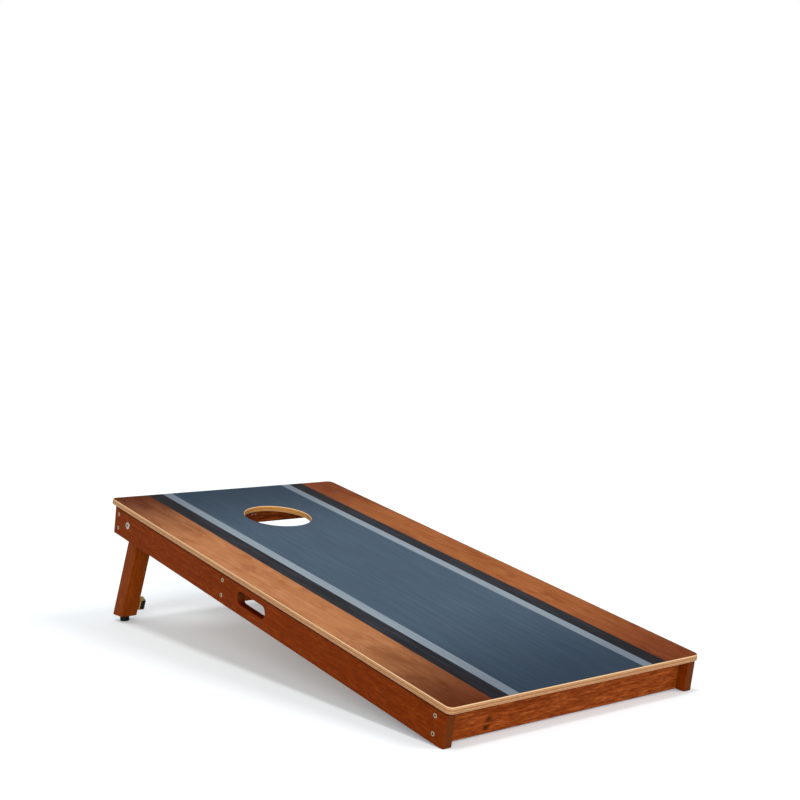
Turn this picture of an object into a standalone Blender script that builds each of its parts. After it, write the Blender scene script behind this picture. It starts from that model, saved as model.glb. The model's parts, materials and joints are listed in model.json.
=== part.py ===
"""Cornhole board with folding legs (metres, +Z up, +X right, +Y from low front to raised back).

Everything is laid out in the board frame, an empty tilted on the floor: x runs across, y up the
slope from the deck's front edge, and z out of the deck's top face, which is z = 0.  Each leg hangs
on an empty of its own that lies on its pivot bolt's axis.
"""

import math

import bmesh
import bpy
from mathutils import Matrix, Vector

INCH = 0.0254
GAP = 0.0003

# Stance: slope of the deck on the floor, and lean of the legs from square to the deck
TILT = math.radians(10.4)
LEG_LEAN = math.radians(13.9)

# Deck
DECK_LENGTH = 48 * INCH
DECK_WIDTH = 24 * INCH
DECK_THICKNESS = 0.012
DECK_CORNER = 0.5 * INCH
DECK_EASE = 0.0022
HOLE_RADIUS = 3 * INCH
HOLE_FROM_BACK = 9 * INCH
HOLE_EASE = 0.0025

# Frame boards
STOCK = 0.018
FRAME_HEIGHT = 2.5 * INCH
BOARD_EASE = 0.0012
RAIL_INSET = 0.003
RAIL_FRONT = 0.007
RAIL_BACK = 1.198
REST_FLAT = 0.010
FRONT_APRON_Y = 0.0365
BRACE_Y = 0.7173
BACK_APRON_Y = 1.1796

# Hand slot through each rail
SLOT_Y = 0.6070
SLOT_Z = -0.0420
SLOT_LENGTH = 4 * INCH
SLOT_HEIGHT = 1 * INCH
SLOT_EASE = 0.006

# Legs and their pivots
PIVOT_Y = 1.1332
PIVOT_Z = -0.0402
LEG_SIZE = 0.040
LEG_EASE = 0.003
LEG_TOP_ROUND = 0.018
LEG_SIDE_ROOM = 0.003
FOOT_HEIGHT = 0.013
FOOT_RADIUS = 0.011
FOOT_SCREW_SEAT = 0.0050

# Flat straight rim round every countersunk head, and the cone's drop for each metre of its width
SCREW_LAND = 0.0004
CONE_SLOPE = 0.9

# Frame screws, countersunk flush with the rails
SCREW_DEPTHS = (-0.0275, -0.0590)
FRAME_SCREW = dict(head=0.0043, shank=0.0021, length=0.045, socket=0.0016, socket_depth=0.0020)

# Pivot hardware, M8
BOLT_RADIUS = 0.004
BOLT_HEAD_RADIUS = 0.00825
BOLT_HEAD_HEIGHT = 0.0022
BOLT_HEAD_ROUND = 0.0016
BOLT_END_CHAMFER = 0.001
BOLT_END_PROUD = 0.0025
BOLT_SOCKET_RADIUS = 0.0029
BOLT_SOCKET_DEPTH = 0.0038
WASHER_RADIUS = 0.0085
WASHER_THICKNESS = 0.0016
NUT_RADIUS = 0.0075
NUT_HEIGHT = 0.008

# Catch low on each leg, and the strike plate it meets when the leg is folded
CATCH_DOWN = 0.2085
MAGNET_HEIGHT = 0.0225
MAGNET_DEPTH = 0.0155
CATCH_PROUD = 0.0145
BRACKET_BASE = 0.0042
BRACKET_LIP = 0.0015
BRACKET_DEPTH = 0.0160
MAGNET_PROUD = 0.0010
MAGNET_EASE = 0.0006
CATCH_SCREW = dict(head=0.0030, shank=0.0015, length=0.030, socket=0.0011, socket_depth=0.0014)
STRIKE_SIZE = (0.022, 0.030, 0.0015)
STRIKE_SCREW = dict(head=0.0030, shank=0.0015, length=0.010, socket=0.0011, socket_depth=0.0014)

# Pocket screws from the frame up into the deck
POCKET_ANGLE = math.radians(15)
POCKET_RADIUS = 0.0048
POCKET_SEAT = 0.026
POCKET_REACH = 0.060
POCKET_SCREW = dict(head=0.0040, head_height=0.0025, shank=0.0019, length=0.034)
APRON_POCKETS_X = 0.170
RAIL_POCKETS_Y = (0.300, 0.930)

# Pair of round-head screws on the back apron's inner face
FACE_SCREWS_X = (0.0472, 0.0562)
FACE_SCREWS_Z = -0.0530
FACE_SCREW = dict(head=0.0028, head_height=0.0018, shank=0.0013, length=0.012)
FOOT_SCREW = dict(head=0.0034, head_height=0.0022, shank=0.0019, length=0.030)

# Facets round screws and round larger pieces, and the angle past which an edge shows sharp
SCREW_STEPS = 10
ROUND_STEPS = 16
SHARP_ANGLE = math.radians(35)

# Worked out from the above
RAIL_OUTER_X = DECK_WIDTH / 2 - RAIL_INSET
RAIL_INNER_X = RAIL_OUTER_X - STOCK
LEG_OUTER_X = RAIL_INNER_X - LEG_SIDE_ROOM
LEG_CENTRE_X = LEG_OUTER_X - LEG_SIZE / 2
LEG_INNER_X = LEG_OUTER_X - LEG_SIZE
FRAME_TOP = -DECK_THICKNESS - GAP
FRAME_BOTTOM = -DECK_THICKNESS - FRAME_HEIGHT
FRAME_MIDDLE = (FRAME_TOP + FRAME_BOTTOM) / 2
FULL_LEAN = TILT + LEG_LEAN
SIDES = {"left": -1, "right": 1}


# ---------------------------------------------------------------- scene and materials

def clear_scene():
    for obj in list(bpy.data.objects):
        bpy.data.objects.remove(obj, do_unlink=True)


def new_collection(name):
    collection = bpy.data.collections.new(name)
    bpy.context.scene.collection.children.link(collection)
    return collection


def make_material(name, colour, roughness, metallic=0.0):
    material = bpy.data.materials.new(name)
    material.use_nodes = True
    shader = material.node_tree.nodes["Principled BSDF"]
    shader.inputs["Base Color"].default_value = (*colour, 1.0)
    shader.inputs["Roughness"].default_value = roughness
    shader.inputs["Metallic"].default_value = metallic
    return material


def make_materials():
    return {
        "deck_board": make_material("deck_board", (0.16, 0.24, 0.30), 0.45),
        "stained_wood": make_material("stained_wood", (0.30, 0.09, 0.03), 0.42),
        "screw_steel": make_material("screw_steel", (0.66, 0.65, 0.62), 0.30, 1.0),
        "bolt_steel": make_material("bolt_steel", (0.74, 0.73, 0.70), 0.25, 1.0),
        "brass": make_material("brass", (0.62, 0.45, 0.18), 0.35, 1.0),
        "magnet": make_material("magnet", (0.02, 0.02, 0.02), 0.45),
        "rubber": make_material("rubber", (0.015, 0.015, 0.015), 0.75),
    }


class Shop:
    """Holds the collections, materials and parents that every piece is added with."""

    def __init__(self):
        self.parts = new_collection("cornhole_board")
        self.cutters = new_collection("cutters")
        self.materials = make_materials()

    def empty(self, name, parent=None, location=(0, 0, 0), rotation=(0, 0, 0)):
        obj = bpy.data.objects.new(name, None)
        self.parts.objects.link(obj)
        obj.parent = parent
        obj.location = location
        obj.rotation_euler = rotation
        return obj

    def part(self, name, mesh, material, parent, location=(0, 0, 0), rotation=(0, 0, 0)):
        obj = bpy.data.objects.new(name, mesh)
        self.parts.objects.link(obj)
        obj.data.materials.append(self.materials[material])
        obj.parent = parent
        obj.location = location
        obj.rotation_euler = rotation
        return obj

    def cutter(self, name, mesh, parent, location=(0, 0, 0), rotation=(0, 0, 0)):
        obj = bpy.data.objects.new(name, mesh)
        self.cutters.objects.link(obj)
        obj.parent = parent
        obj.location = location
        obj.rotation_euler = rotation
        obj.hide_render = True
        obj.display_type = "WIRE"
        return obj


# ---------------------------------------------------------------- shapes

def mesh_from(bm, name):
    """Turns a closed bmesh into a mesh, smooth over its round stretches and sharp at its edges."""
    bmesh.ops.recalc_face_normals(bm, faces=bm.faces)
    mesh = bpy.data.meshes.new(name)
    bm.to_mesh(mesh)
    bm.free()
    mesh.shade_smooth()
    mesh.set_sharp_from_angle(angle=SHARP_ANGLE)
    return mesh


def box_mesh(name, size):
    bm = bmesh.new()
    bmesh.ops.create_cube(bm, size=1.0)
    bmesh.ops.scale(bm, vec=size, verts=bm.verts)
    return mesh_from(bm, name)


def prism_mesh(name, outline, thickness, axis="X"):
    """Extrudes an outline: (y, z) points along X, or (x, z) points along Y."""
    half = thickness / 2
    if axis == "X":
        points = [Vector((-half, a, b)) for a, b in outline]
        travel = Vector((thickness, 0, 0))
    else:
        points = [Vector((a, -half, b)) for a, b in outline]
        travel = Vector((0, thickness, 0))
    bm = bmesh.new()
    face = bm.faces.new([bm.verts.new(point) for point in points])
    extruded = bmesh.ops.extrude_face_region(bm, geom=[face])
    moved = [item for item in extruded["geom"] if isinstance(item, bmesh.types.BMVert)]
    bmesh.ops.translate(bm, vec=travel, verts=moved)
    return mesh_from(bm, name)


def profile_mesh(name, profile, closed=False):
    """Edges of a turned outline in the XZ plane, listed down its outer side."""
    bm = bmesh.new()
    verts = [bm.verts.new((radius, 0, height)) for radius, height in profile]
    for first, second in zip(verts, verts[1:]):
        bm.edges.new((first, second))
    if closed:
        bm.edges.new((verts[-1], verts[0]))
    mesh = bpy.data.meshes.new(name)
    bm.to_mesh(mesh)
    bm.free()
    return mesh


def turn(obj, steps=ROUND_STEPS):
    screw = obj.modifiers.new("turned", "SCREW")
    screw.axis = "Z"
    screw.angle = math.tau
    screw.steps = steps
    screw.render_steps = steps
    screw.use_merge_vertices = True
    screw.merge_threshold = 0.00001
    screw.use_smooth_shade = True
    return obj


def ease(obj, width, segments=2):
    bevel = obj.modifiers.new("eased_edges", "BEVEL")
    bevel.width = width
    bevel.segments = segments
    bevel.limit_method = "ANGLE"
    bevel.angle_limit = math.radians(50)
    return obj


def cut(obj, *cutters):
    for cutter in cutters:
        boolean = obj.modifiers.new(cutter.name, "BOOLEAN")
        boolean.operation = "DIFFERENCE"
        boolean.solver = "EXACT"
        boolean.object = cutter
    return obj


def circle_ring(radius, steps):
    """Outline maker for a round hole: takes an outward offset and returns (x, y) points."""
    def ring(offset):
        angles = [math.tau * step / steps for step in range(steps)]
        return [((radius + offset) * math.cos(a), (radius + offset) * math.sin(a)) for a in angles]
    return ring


def stadium_ring(length, height, steps):
    """Outline maker for a slot with round ends, long along y."""
    radius = height / 2
    reach = length / 2 - radius

    def ring(offset):
        points = []
        for end, start in ((1, 0.0), (-1, math.pi)):
            for step in range(steps + 1):
                a = start + math.pi * step / steps
                y = end * reach + (radius + offset) * math.sin(a)
                points.append(((radius + offset) * math.cos(a), y))
        return points
    return ring


def flared_mesh(name, ring, thickness, radius, steps):
    """Cutter for a hole through a board, flaring at both faces to round the rim over."""
    overshoot = 0.05 * radius
    mouth = 0.004
    quarter = [math.pi / 2 * step / steps for step in range(steps + 1)]
    face = thickness / 2 + overshoot
    upper = [(face - radius * (1 - math.sin(a)), radius * (1 - math.cos(a))) for a in quarter]
    upper.append((thickness / 2 + mouth, radius))
    levels = [(-height, offset) for height, offset in reversed(upper)] + upper
    bm = bmesh.new()
    loops = []
    for height, offset in levels:
        loops.append([bm.verts.new((x, y, height)) for x, y in ring(offset)])
    for lower, higher in zip(loops, loops[1:]):
        for index in range(len(lower)):
            after = (index + 1) % len(lower)
            bm.faces.new((lower[index], lower[after], higher[after], higher[index]))
    bm.faces.new(list(reversed(loops[0])))
    bm.faces.new(loops[-1])
    return mesh_from(bm, name)


def aim(direction):
    """Rotation that turns +Z to the given direction."""
    return Vector(direction).to_track_quat("Z", "Y").to_euler()


# ---------------------------------------------------------------- fasteners

def flat_screw_profile(head, shank, length, socket, socket_depth):
    cone = (head - shank) * CONE_SLOPE + SCREW_LAND
    tip = shank * 1.5
    return [(0, -socket_depth), (socket, -socket_depth), (socket, 0), (head, 0), (head, -SCREW_LAND),
            (shank, -cone), (shank, tip - length), (0, -length)]


def flat_screw_room(head, shank, length, **_):
    """The same outline grown by the gap and carried out past the face."""
    clear = 0.002
    cone = (head - shank) * CONE_SLOPE + SCREW_LAND
    return [(0, clear), (head + GAP, clear), (head + GAP, -SCREW_LAND - GAP), (shank + GAP, -cone - GAP),
            (shank + GAP, -length - GAP), (0, -length - GAP)]


def round_screw_profile(head, head_height, shank, length):
    crown = 0.55 * head
    tip = shank * 1.5
    return [(0, head_height), (crown, head_height * 0.9), (head, head_height * 0.35), (head, GAP),
            (shank, GAP), (shank, tip - length), (0, -length)]


def shank_room(shank, length, clear=0.001):
    return [(0, clear), (shank + GAP, clear), (shank + GAP, -length - GAP), (0, -length - GAP)]


def flat_screw(shop, name, size, parent, location, rotation):
    turn(shop.part(name, profile_mesh(name, flat_screw_profile(**size)), "screw_steel",
                   parent, location, rotation), SCREW_STEPS)
    room = profile_mesh(name + "_room", flat_screw_room(**size))
    return turn(shop.cutter(name + "_room", room, parent, location, rotation), SCREW_STEPS)


def round_screw(shop, name, size, parent, location, rotation):
    turn(shop.part(name, profile_mesh(name, round_screw_profile(**size)), "screw_steel",
                   parent, location, rotation), SCREW_STEPS)
    room = profile_mesh(name + "_room", shank_room(size["shank"], size["length"]))
    return turn(shop.cutter(name + "_room", room, parent, location, rotation), SCREW_STEPS)


def pocket_screw(shop, name, parent, location, direction):
    """A screw in a slanted pocket: its head points down the pocket and its tip up into the deck."""
    profile = round_screw_profile(**POCKET_SCREW)
    screw = shop.part(name, profile_mesh(name, profile), "screw_steel", parent, location, aim(direction))
    turn(screw, SCREW_STEPS)
    shank = POCKET_SCREW["shank"] + GAP
    tip = -POCKET_SCREW["length"] - GAP
    outline = [(0, POCKET_REACH), (POCKET_RADIUS, POCKET_REACH), (POCKET_RADIUS, 0), (shank, 0), (shank, tip),
               (0, tip)]
    room = profile_mesh(name + "_room", outline)
    return turn(shop.cutter(name + "_room", room, parent, location, aim(direction)), SCREW_STEPS)


def washer(shop, name, parent, location, rotation, thickness):
    inner = BOLT_RADIUS + GAP
    profile = [(inner, thickness / 2), (WASHER_RADIUS, thickness / 2), (WASHER_RADIUS, -thickness / 2),
               (inner, -thickness / 2)]
    return turn(shop.part(name, profile_mesh(name, profile, closed=True), "bolt_steel",
                          parent, location, rotation))


# ---------------------------------------------------------------- deck and frame

def make_deck(shop, board):
    bm = bmesh.new()
    bmesh.ops.create_cube(bm, size=1.0)
    bmesh.ops.scale(bm, vec=(DECK_WIDTH, DECK_LENGTH, DECK_THICKNESS), verts=bm.verts)
    upright = [edge for edge in bm.edges if abs(edge.verts[0].co.z - edge.verts[1].co.z) > DECK_THICKNESS / 2]
    bmesh.ops.bevel(bm, geom=upright, offset=DECK_CORNER, segments=5, profile=0.5, affect="EDGES")
    middle = (0, DECK_LENGTH / 2, -DECK_THICKNESS / 2)
    deck = ease(shop.part("deck", mesh_from(bm, "deck"), "deck_board", board, middle), DECK_EASE)
    rim = flared_mesh("hole", circle_ring(HOLE_RADIUS, 40), DECK_THICKNESS, HOLE_EASE, 2)
    hole = shop.cutter("hole", rim, board, (0, DECK_LENGTH - HOLE_FROM_BACK, -DECK_THICKNESS / 2))
    return cut(deck, hole)


def rail_outline():
    """Side view of a rail about its own centre, with a flat cut for the floor at the low front."""
    half_length = (RAIL_BACK - RAIL_FRONT) / 2
    top = FRAME_TOP - FRAME_MIDDLE
    bottom = FRAME_BOTTOM - FRAME_MIDDLE
    rise = REST_FLAT * math.tan(TILT)
    return [(-half_length, top), (-half_length, bottom + rise), (-half_length + REST_FLAT, bottom),
            (half_length, bottom), (half_length, top)]


def make_rail(shop, board, name, side):
    mesh = prism_mesh("rail_" + name, rail_outline(), STOCK)
    x = side * (RAIL_INNER_X + STOCK / 2)
    y = (RAIL_FRONT + RAIL_BACK) / 2
    rail = ease(shop.part("rail_" + name, mesh, "stained_wood", board, (x, y, FRAME_MIDDLE)), BOARD_EASE, 1)
    slot = flared_mesh("slot_" + name, stadium_ring(SLOT_LENGTH, SLOT_HEIGHT, 7), STOCK, SLOT_EASE, 2)
    return cut(rail, shop.cutter("slot_" + name, slot, board, (x, SLOT_Y, SLOT_Z), (0, math.pi / 2, 0)))


def make_cross_board(shop, board, name, y):
    size = (2 * (RAIL_INNER_X - GAP), STOCK, FRAME_TOP - FRAME_BOTTOM)
    part = shop.part(name, box_mesh(name, size), "stained_wood", board, (0, y, FRAME_MIDDLE))
    return ease(part, BOARD_EASE, 1)


def fasten_frame(shop, board, rails, cross_boards):
    """Two countersunk screws through each rail into the end of each cross board."""
    places = {"front": FRONT_APRON_Y, "middle": BRACE_Y, "back": BACK_APRON_Y}
    for side_name, side in SIDES.items():
        for place, y in places.items():
            for level, z in zip(("upper", "lower"), SCREW_DEPTHS):
                name = f"frame_screw_{side_name}_{place}_{level}"
                place_at = (side * RAIL_OUTER_X, y, z)
                room = flat_screw(shop, name, FRAME_SCREW, board, place_at, aim((side, 0, 0)))
                cut(rails[side_name], room)
                cut(cross_boards[place], room)


def fasten_deck(shop, board, deck, rails, cross_boards):
    """Pocket screws from the aprons and the rails up into the underside of the deck."""
    slant = math.sin(POCKET_ANGLE)
    drop = -math.cos(POCKET_ANGLE)
    spots = []
    for side_name, side in SIDES.items():
        for place, y, inward in (("front", FRONT_APRON_Y, 1), ("back", BACK_APRON_Y, -1)):
            top = Vector((side * APRON_POCKETS_X, y, FRAME_TOP))
            direction = Vector((0, inward * slant, drop))
            spots.append((f"{place}_{side_name}", cross_boards[place], top, direction))
        for place, y in zip(("near", "far"), RAIL_POCKETS_Y):
            top = Vector((side * (RAIL_INNER_X + STOCK / 2), y, FRAME_TOP))
            direction = Vector((-side * slant, 0, drop))
            spots.append((f"{side_name}_{place}", rails[side_name], top, direction))
    for label, host, top, direction in spots:
        room = pocket_screw(shop, "pocket_screw_" + label, board, top + POCKET_SEAT * direction, direction)
        cut(host, room)
        cut(deck, room)


def add_face_screws(shop, board, apron):
    for label, x in zip("ab", FACE_SCREWS_X):
        seat = (x, BACK_APRON_Y - STOCK / 2 - GAP, FACE_SCREWS_Z)
        cut(apron, round_screw(shop, "face_screw_" + label, FACE_SCREW, board, seat, aim((0, -1, 0))))


# ---------------------------------------------------------------- legs

def leg_length():
    """From the pivot axis down the leg's centre line to its foot end, level with the floor."""
    pivot_above_deck_front = PIVOT_Y * math.sin(TILT) + PIVOT_Z * math.cos(TILT)
    floor_below_deck_front = (RAIL_FRONT + REST_FLAT) * math.sin(TILT) + FRAME_BOTTOM * math.cos(TILT)
    return (pivot_above_deck_front - floor_below_deck_front - FOOT_HEIGHT) / math.cos(FULL_LEAN)


def leg_top():
    """Height above the pivot at which the square rear corner just meets the deck's underside."""
    room = -DECK_THICKNESS - GAP - PIVOT_Z
    eased = LEG_EASE * (math.sin(LEG_LEAN) + math.cos(LEG_LEAN) - 1)
    return (room + eased - LEG_SIZE / 2 * math.sin(LEG_LEAN)) / math.cos(LEG_LEAN)


def leg_outline():
    """Side view about the pivot: rounded front top corner, square rear one, foot cut level."""
    half = LEG_SIZE / 2
    top = leg_top()
    slope = math.tan(FULL_LEAN)
    steps = 8
    points = [(-half, half * slope - leg_length()), (half, -half * slope - leg_length()), (half, top)]
    for step in range(steps + 1):
        a = math.pi / 2 * (1 + step / steps)
        points.append((LEG_TOP_ROUND - half + LEG_TOP_ROUND * math.cos(a),
                       top - LEG_TOP_ROUND + LEG_TOP_ROUND * math.sin(a)))
    return points


def fold_angle():
    """Turn from the standing pose until the magnet's far end meets the strike plate."""
    face = LEG_SIZE / 2 + MAGNET_PROUD
    room = -DECK_THICKNESS - STRIKE_SIZE[2] - 2 * GAP - PIVOT_Z
    extra = math.asin((room - face) / (CATCH_DOWN + MAGNET_HEIGHT / 2))
    return math.pi / 2 + LEG_LEAN + extra


def make_leg(shop, pivot, name):
    mesh = prism_mesh("leg_" + name, leg_outline(), LEG_SIZE)
    return ease(shop.part("leg_" + name, mesh, "stained_wood", pivot), LEG_EASE)


def foot_profile():
    bore = FOOT_SCREW["shank"] + GAP
    recess = FOOT_SCREW["head"] + 0.0008
    seat = FOOT_SCREW_SEAT
    round_over = 0.0012
    base = FOOT_RADIUS - 0.0010
    return [(bore, FOOT_HEIGHT - GAP), (FOOT_RADIUS, FOOT_HEIGHT - GAP), (base, round_over),
            (base - round_over, 0), (recess, 0), (recess, seat), (bore, seat)]


def add_foot(shop, pivot, leg, name):
    """Rubber foot square to the floor, held by a screw sunk in its underside."""
    upright = (-FULL_LEAN, 0, 0)
    down = Matrix.Rotation(-FULL_LEAN, 4, "X") @ Vector((0, 0, -1))
    end = Vector((0, 0, -leg_length()))
    foot = profile_mesh("foot_" + name, foot_profile(), closed=True)
    turn(shop.part("foot_" + name, foot, "rubber", pivot, end + FOOT_HEIGHT * down, upright))
    seat = end + (FOOT_HEIGHT - FOOT_SCREW_SEAT) * down
    cut(leg, round_screw(shop, "foot_screw_" + name, FOOT_SCREW, pivot, seat, aim(down)))


def add_pivot(shop, board, rail, leg, name, side):
    """Bolt through rail and leg, with a spacer between them and a washer and lock nut inside."""
    outward = aim((side, 0, 0))
    washer_x = LEG_INNER_X - GAP - WASHER_THICKNESS / 2
    nut_x = washer_x - WASHER_THICKNESS / 2 - GAP - NUT_HEIGHT / 2
    length = RAIL_OUTER_X - (nut_x - NUT_HEIGHT / 2) + BOLT_END_PROUD
    head = BOLT_HEAD_HEIGHT
    profile = [(0, head - BOLT_SOCKET_DEPTH), (BOLT_SOCKET_RADIUS, head - BOLT_SOCKET_DEPTH),
               (BOLT_SOCKET_RADIUS, head), (BOLT_HEAD_RADIUS - BOLT_HEAD_ROUND, head),
               (BOLT_HEAD_RADIUS, head * 0.4), (BOLT_HEAD_RADIUS, GAP), (BOLT_RADIUS, GAP),
               (BOLT_RADIUS, BOLT_END_CHAMFER - length), (BOLT_RADIUS - BOLT_END_CHAMFER, -length),
               (0, -length)]
    mesh = profile_mesh("pivot_bolt_" + name, profile)
    place = (side * RAIL_OUTER_X, PIVOT_Y, PIVOT_Z)
    turn(shop.part("pivot_bolt_" + name, mesh, "bolt_steel", board, place, outward))
    overrun = 0.005
    room = profile_mesh("pivot_room_" + name, shank_room(BOLT_RADIUS, length + overrun, overrun))
    room = turn(shop.cutter("pivot_room_" + name, room, board, place, outward))
    cut(rail, room)
    cut(leg, room)
    spacer_at = (side * (RAIL_INNER_X - LEG_SIDE_ROOM / 2), PIVOT_Y, PIVOT_Z)
    washer(shop, "pivot_spacer_" + name, board, spacer_at, outward, LEG_SIDE_ROOM - 2 * GAP)
    washer_at = (side * washer_x, PIVOT_Y, PIVOT_Z)
    washer(shop, "pivot_washer_" + name, board, washer_at, outward, WASHER_THICKNESS)
    bm = bmesh.new()
    bmesh.ops.create_cone(bm, cap_ends=True, segments=6, radius1=NUT_RADIUS, radius2=NUT_RADIUS,
                          depth=NUT_HEIGHT)
    nut = shop.part("pivot_nut_" + name, mesh_from(bm, "pivot_nut_" + name), "bolt_steel", board,
                    (side * nut_x, PIVOT_Y, PIVOT_Z), outward)
    cut(nut, room)


def bracket_outline(side):
    """Channel seen along the leg's depth: base on the leg, a lip above and a lip below."""
    root = -side * GAP
    inner = -side * BRACKET_BASE
    edge = -side * CATCH_PROUD
    reach = MAGNET_HEIGHT / 2 + GAP
    outer = reach + BRACKET_LIP
    return [(root, -outer), (edge, -outer), (edge, -reach), (inner, -reach),
            (inner, reach), (edge, reach), (edge, outer), (root, outer)]


def add_catch(shop, pivot, leg, name, side):
    """Magnet in a channel bracket on the leg's inner face, facing the leg's front."""
    base_x = -side * LEG_SIZE / 2
    front = -LEG_SIZE / 2
    bracket_y = front + GAP + BRACKET_DEPTH / 2
    magnet_y = front - MAGNET_PROUD + MAGNET_DEPTH / 2
    mesh = prism_mesh("catch_bracket_" + name, bracket_outline(side), BRACKET_DEPTH, "Y")
    bracket = shop.part("catch_bracket_" + name, mesh, "brass", pivot, (base_x, bracket_y, -CATCH_DOWN))
    inner = BRACKET_BASE + GAP
    width = CATCH_PROUD - inner
    block = box_mesh("catch_magnet_" + name, (width, MAGNET_DEPTH, MAGNET_HEIGHT))
    magnet_at = (base_x - side * (inner + width / 2), magnet_y, -CATCH_DOWN)
    magnet = shop.part("catch_magnet_" + name, block, "magnet", pivot, magnet_at)
    ease(magnet, MAGNET_EASE, 1)
    place = (base_x - side * CATCH_PROUD, magnet_y, -CATCH_DOWN)
    room = flat_screw(shop, "catch_screw_" + name, CATCH_SCREW, pivot, place, aim((-side, 0, 0)))
    for piece in (magnet, bracket, leg):
        cut(piece, room)


def add_strike(shop, board, deck, name, side):
    """Steel plate under the deck, where the folded leg's magnet comes to rest."""
    face = Vector((0, -LEG_SIZE / 2 - MAGNET_PROUD, -CATCH_DOWN))
    landing = Matrix.Rotation(LEG_LEAN - fold_angle(), 4, "X") @ face
    x = side * (LEG_INNER_X - (BRACKET_BASE + CATCH_PROUD) / 2)
    y = PIVOT_Y + landing.y
    thickness = STRIKE_SIZE[2]
    top = -DECK_THICKNESS - GAP
    plate = shop.part("strike_plate_" + name, box_mesh("strike_plate", STRIKE_SIZE), "screw_steel", board,
                      (x, y, top - thickness / 2))
    screw_at = (x, y, top - thickness)
    room = flat_screw(shop, "strike_screw_" + name, STRIKE_SCREW, board, screw_at, aim((0, 0, -1)))
    cut(plate, room)
    cut(deck, room)


# ---------------------------------------------------------------- assembly

def centre_on_floor(shop, board):
    """Slides the board frame along Y so that the whole object is centred over the origin."""
    bpy.context.view_layer.update()
    graph = bpy.context.evaluated_depsgraph_get()
    reach = []
    for obj in shop.parts.objects:
        if obj.type == "MESH":
            shape = obj.evaluated_get(graph)
            reach.extend((shape.matrix_world @ vertex.co).y for vertex in shape.data.vertices)
    board.location.y -= (min(reach) + max(reach)) / 2
    bpy.context.view_layer.update()


def main():
    clear_scene()
    shop = Shop()
    floor = (RAIL_FRONT + REST_FLAT) * math.sin(TILT) + FRAME_BOTTOM * math.cos(TILT)
    board = shop.empty("board_frame", None, (0, 0, -floor), (TILT, 0, 0))
    deck = make_deck(shop, board)
    rails = {name: make_rail(shop, board, name, side) for name, side in SIDES.items()}
    cross_boards = {
        "front": make_cross_board(shop, board, "front_apron", FRONT_APRON_Y),
        "middle": make_cross_board(shop, board, "centre_brace", BRACE_Y),
        "back": make_cross_board(shop, board, "back_apron", BACK_APRON_Y),
    }
    fasten_frame(shop, board, rails, cross_boards)
    fasten_deck(shop, board, deck, rails, cross_boards)
    add_face_screws(shop, board, cross_boards["back"])
    for name, side in SIDES.items():
        pivot = shop.empty("pivot_" + name, board, (side * LEG_CENTRE_X, PIVOT_Y, PIVOT_Z), (LEG_LEAN, 0, 0))
        leg = make_leg(shop, pivot, name)
        add_pivot(shop, board, rails[name], leg, name, side)
        add_foot(shop, pivot, leg, name)
        add_catch(shop, pivot, leg, name, side)
        add_strike(shop, board, deck, name, side)
    centre_on_floor(shop, board)


main()
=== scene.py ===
"""Looks of the cornhole board: painted plywood deck, stained frame and legs, and metal fittings.

Lengths are metres.  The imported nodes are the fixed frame: each one is stood for by a finer piece,
built in its own frame (the tilted board's, or a leg's) and moved into the row frame in its mesh.
Every mesh carries its own coordinates in an attribute, grain first, which its materials read.
"""

import json
import math

import bmesh
import bpy
from mathutils import Matrix, Vector


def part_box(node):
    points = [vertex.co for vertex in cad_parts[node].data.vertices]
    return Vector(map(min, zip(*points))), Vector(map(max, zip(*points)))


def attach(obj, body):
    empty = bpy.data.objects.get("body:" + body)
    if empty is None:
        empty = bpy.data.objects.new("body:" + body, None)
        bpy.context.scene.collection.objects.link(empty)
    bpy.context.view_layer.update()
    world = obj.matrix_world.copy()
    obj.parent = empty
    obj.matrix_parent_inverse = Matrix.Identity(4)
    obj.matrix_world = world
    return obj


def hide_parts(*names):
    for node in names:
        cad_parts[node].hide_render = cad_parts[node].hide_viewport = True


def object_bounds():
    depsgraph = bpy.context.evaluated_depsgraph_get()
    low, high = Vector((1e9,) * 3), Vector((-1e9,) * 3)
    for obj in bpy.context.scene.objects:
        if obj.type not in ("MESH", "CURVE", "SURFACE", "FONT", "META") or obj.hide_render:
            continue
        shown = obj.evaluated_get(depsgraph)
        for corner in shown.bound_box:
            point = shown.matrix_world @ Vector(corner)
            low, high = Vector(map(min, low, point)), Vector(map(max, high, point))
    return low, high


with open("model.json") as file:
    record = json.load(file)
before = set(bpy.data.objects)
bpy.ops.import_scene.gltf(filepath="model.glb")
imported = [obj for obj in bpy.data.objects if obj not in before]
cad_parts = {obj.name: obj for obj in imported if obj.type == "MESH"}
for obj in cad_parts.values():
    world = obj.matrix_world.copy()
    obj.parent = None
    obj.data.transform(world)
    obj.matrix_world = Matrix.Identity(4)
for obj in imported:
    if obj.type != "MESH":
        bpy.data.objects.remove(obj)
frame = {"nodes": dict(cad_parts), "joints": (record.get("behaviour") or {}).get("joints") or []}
CAD_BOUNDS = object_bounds()

SIDES = {"left": -1, "right": 1}

# An edge is eased above one angle and shaded sharp above the other; GAP parts pieces that would touch
EASE_ANGLE = math.radians(50)
SHARP_ANGLE = math.radians(38)
GAP = 0.0003

# Deck: its roundings and hole, and how far the slate, grey and black bands reach from the centre line.
# A face is on its top or underside when the upright part of its normal is over FLAT.
DECK_CORNER = 0.0127
DECK_EASE = 0.0020
HOLE_RADIUS = 0.0762
HOLE_FROM_BACK = 0.2286
HOLE_EASE = 0.0018
BANDS = (0.1515, 0.1750, 0.2118)
DECK_MATERIALS = ("ply", "veneer", "black", "grey", "slate", "underside", "ply_hole_lit")
FLAT = 0.999

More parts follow.
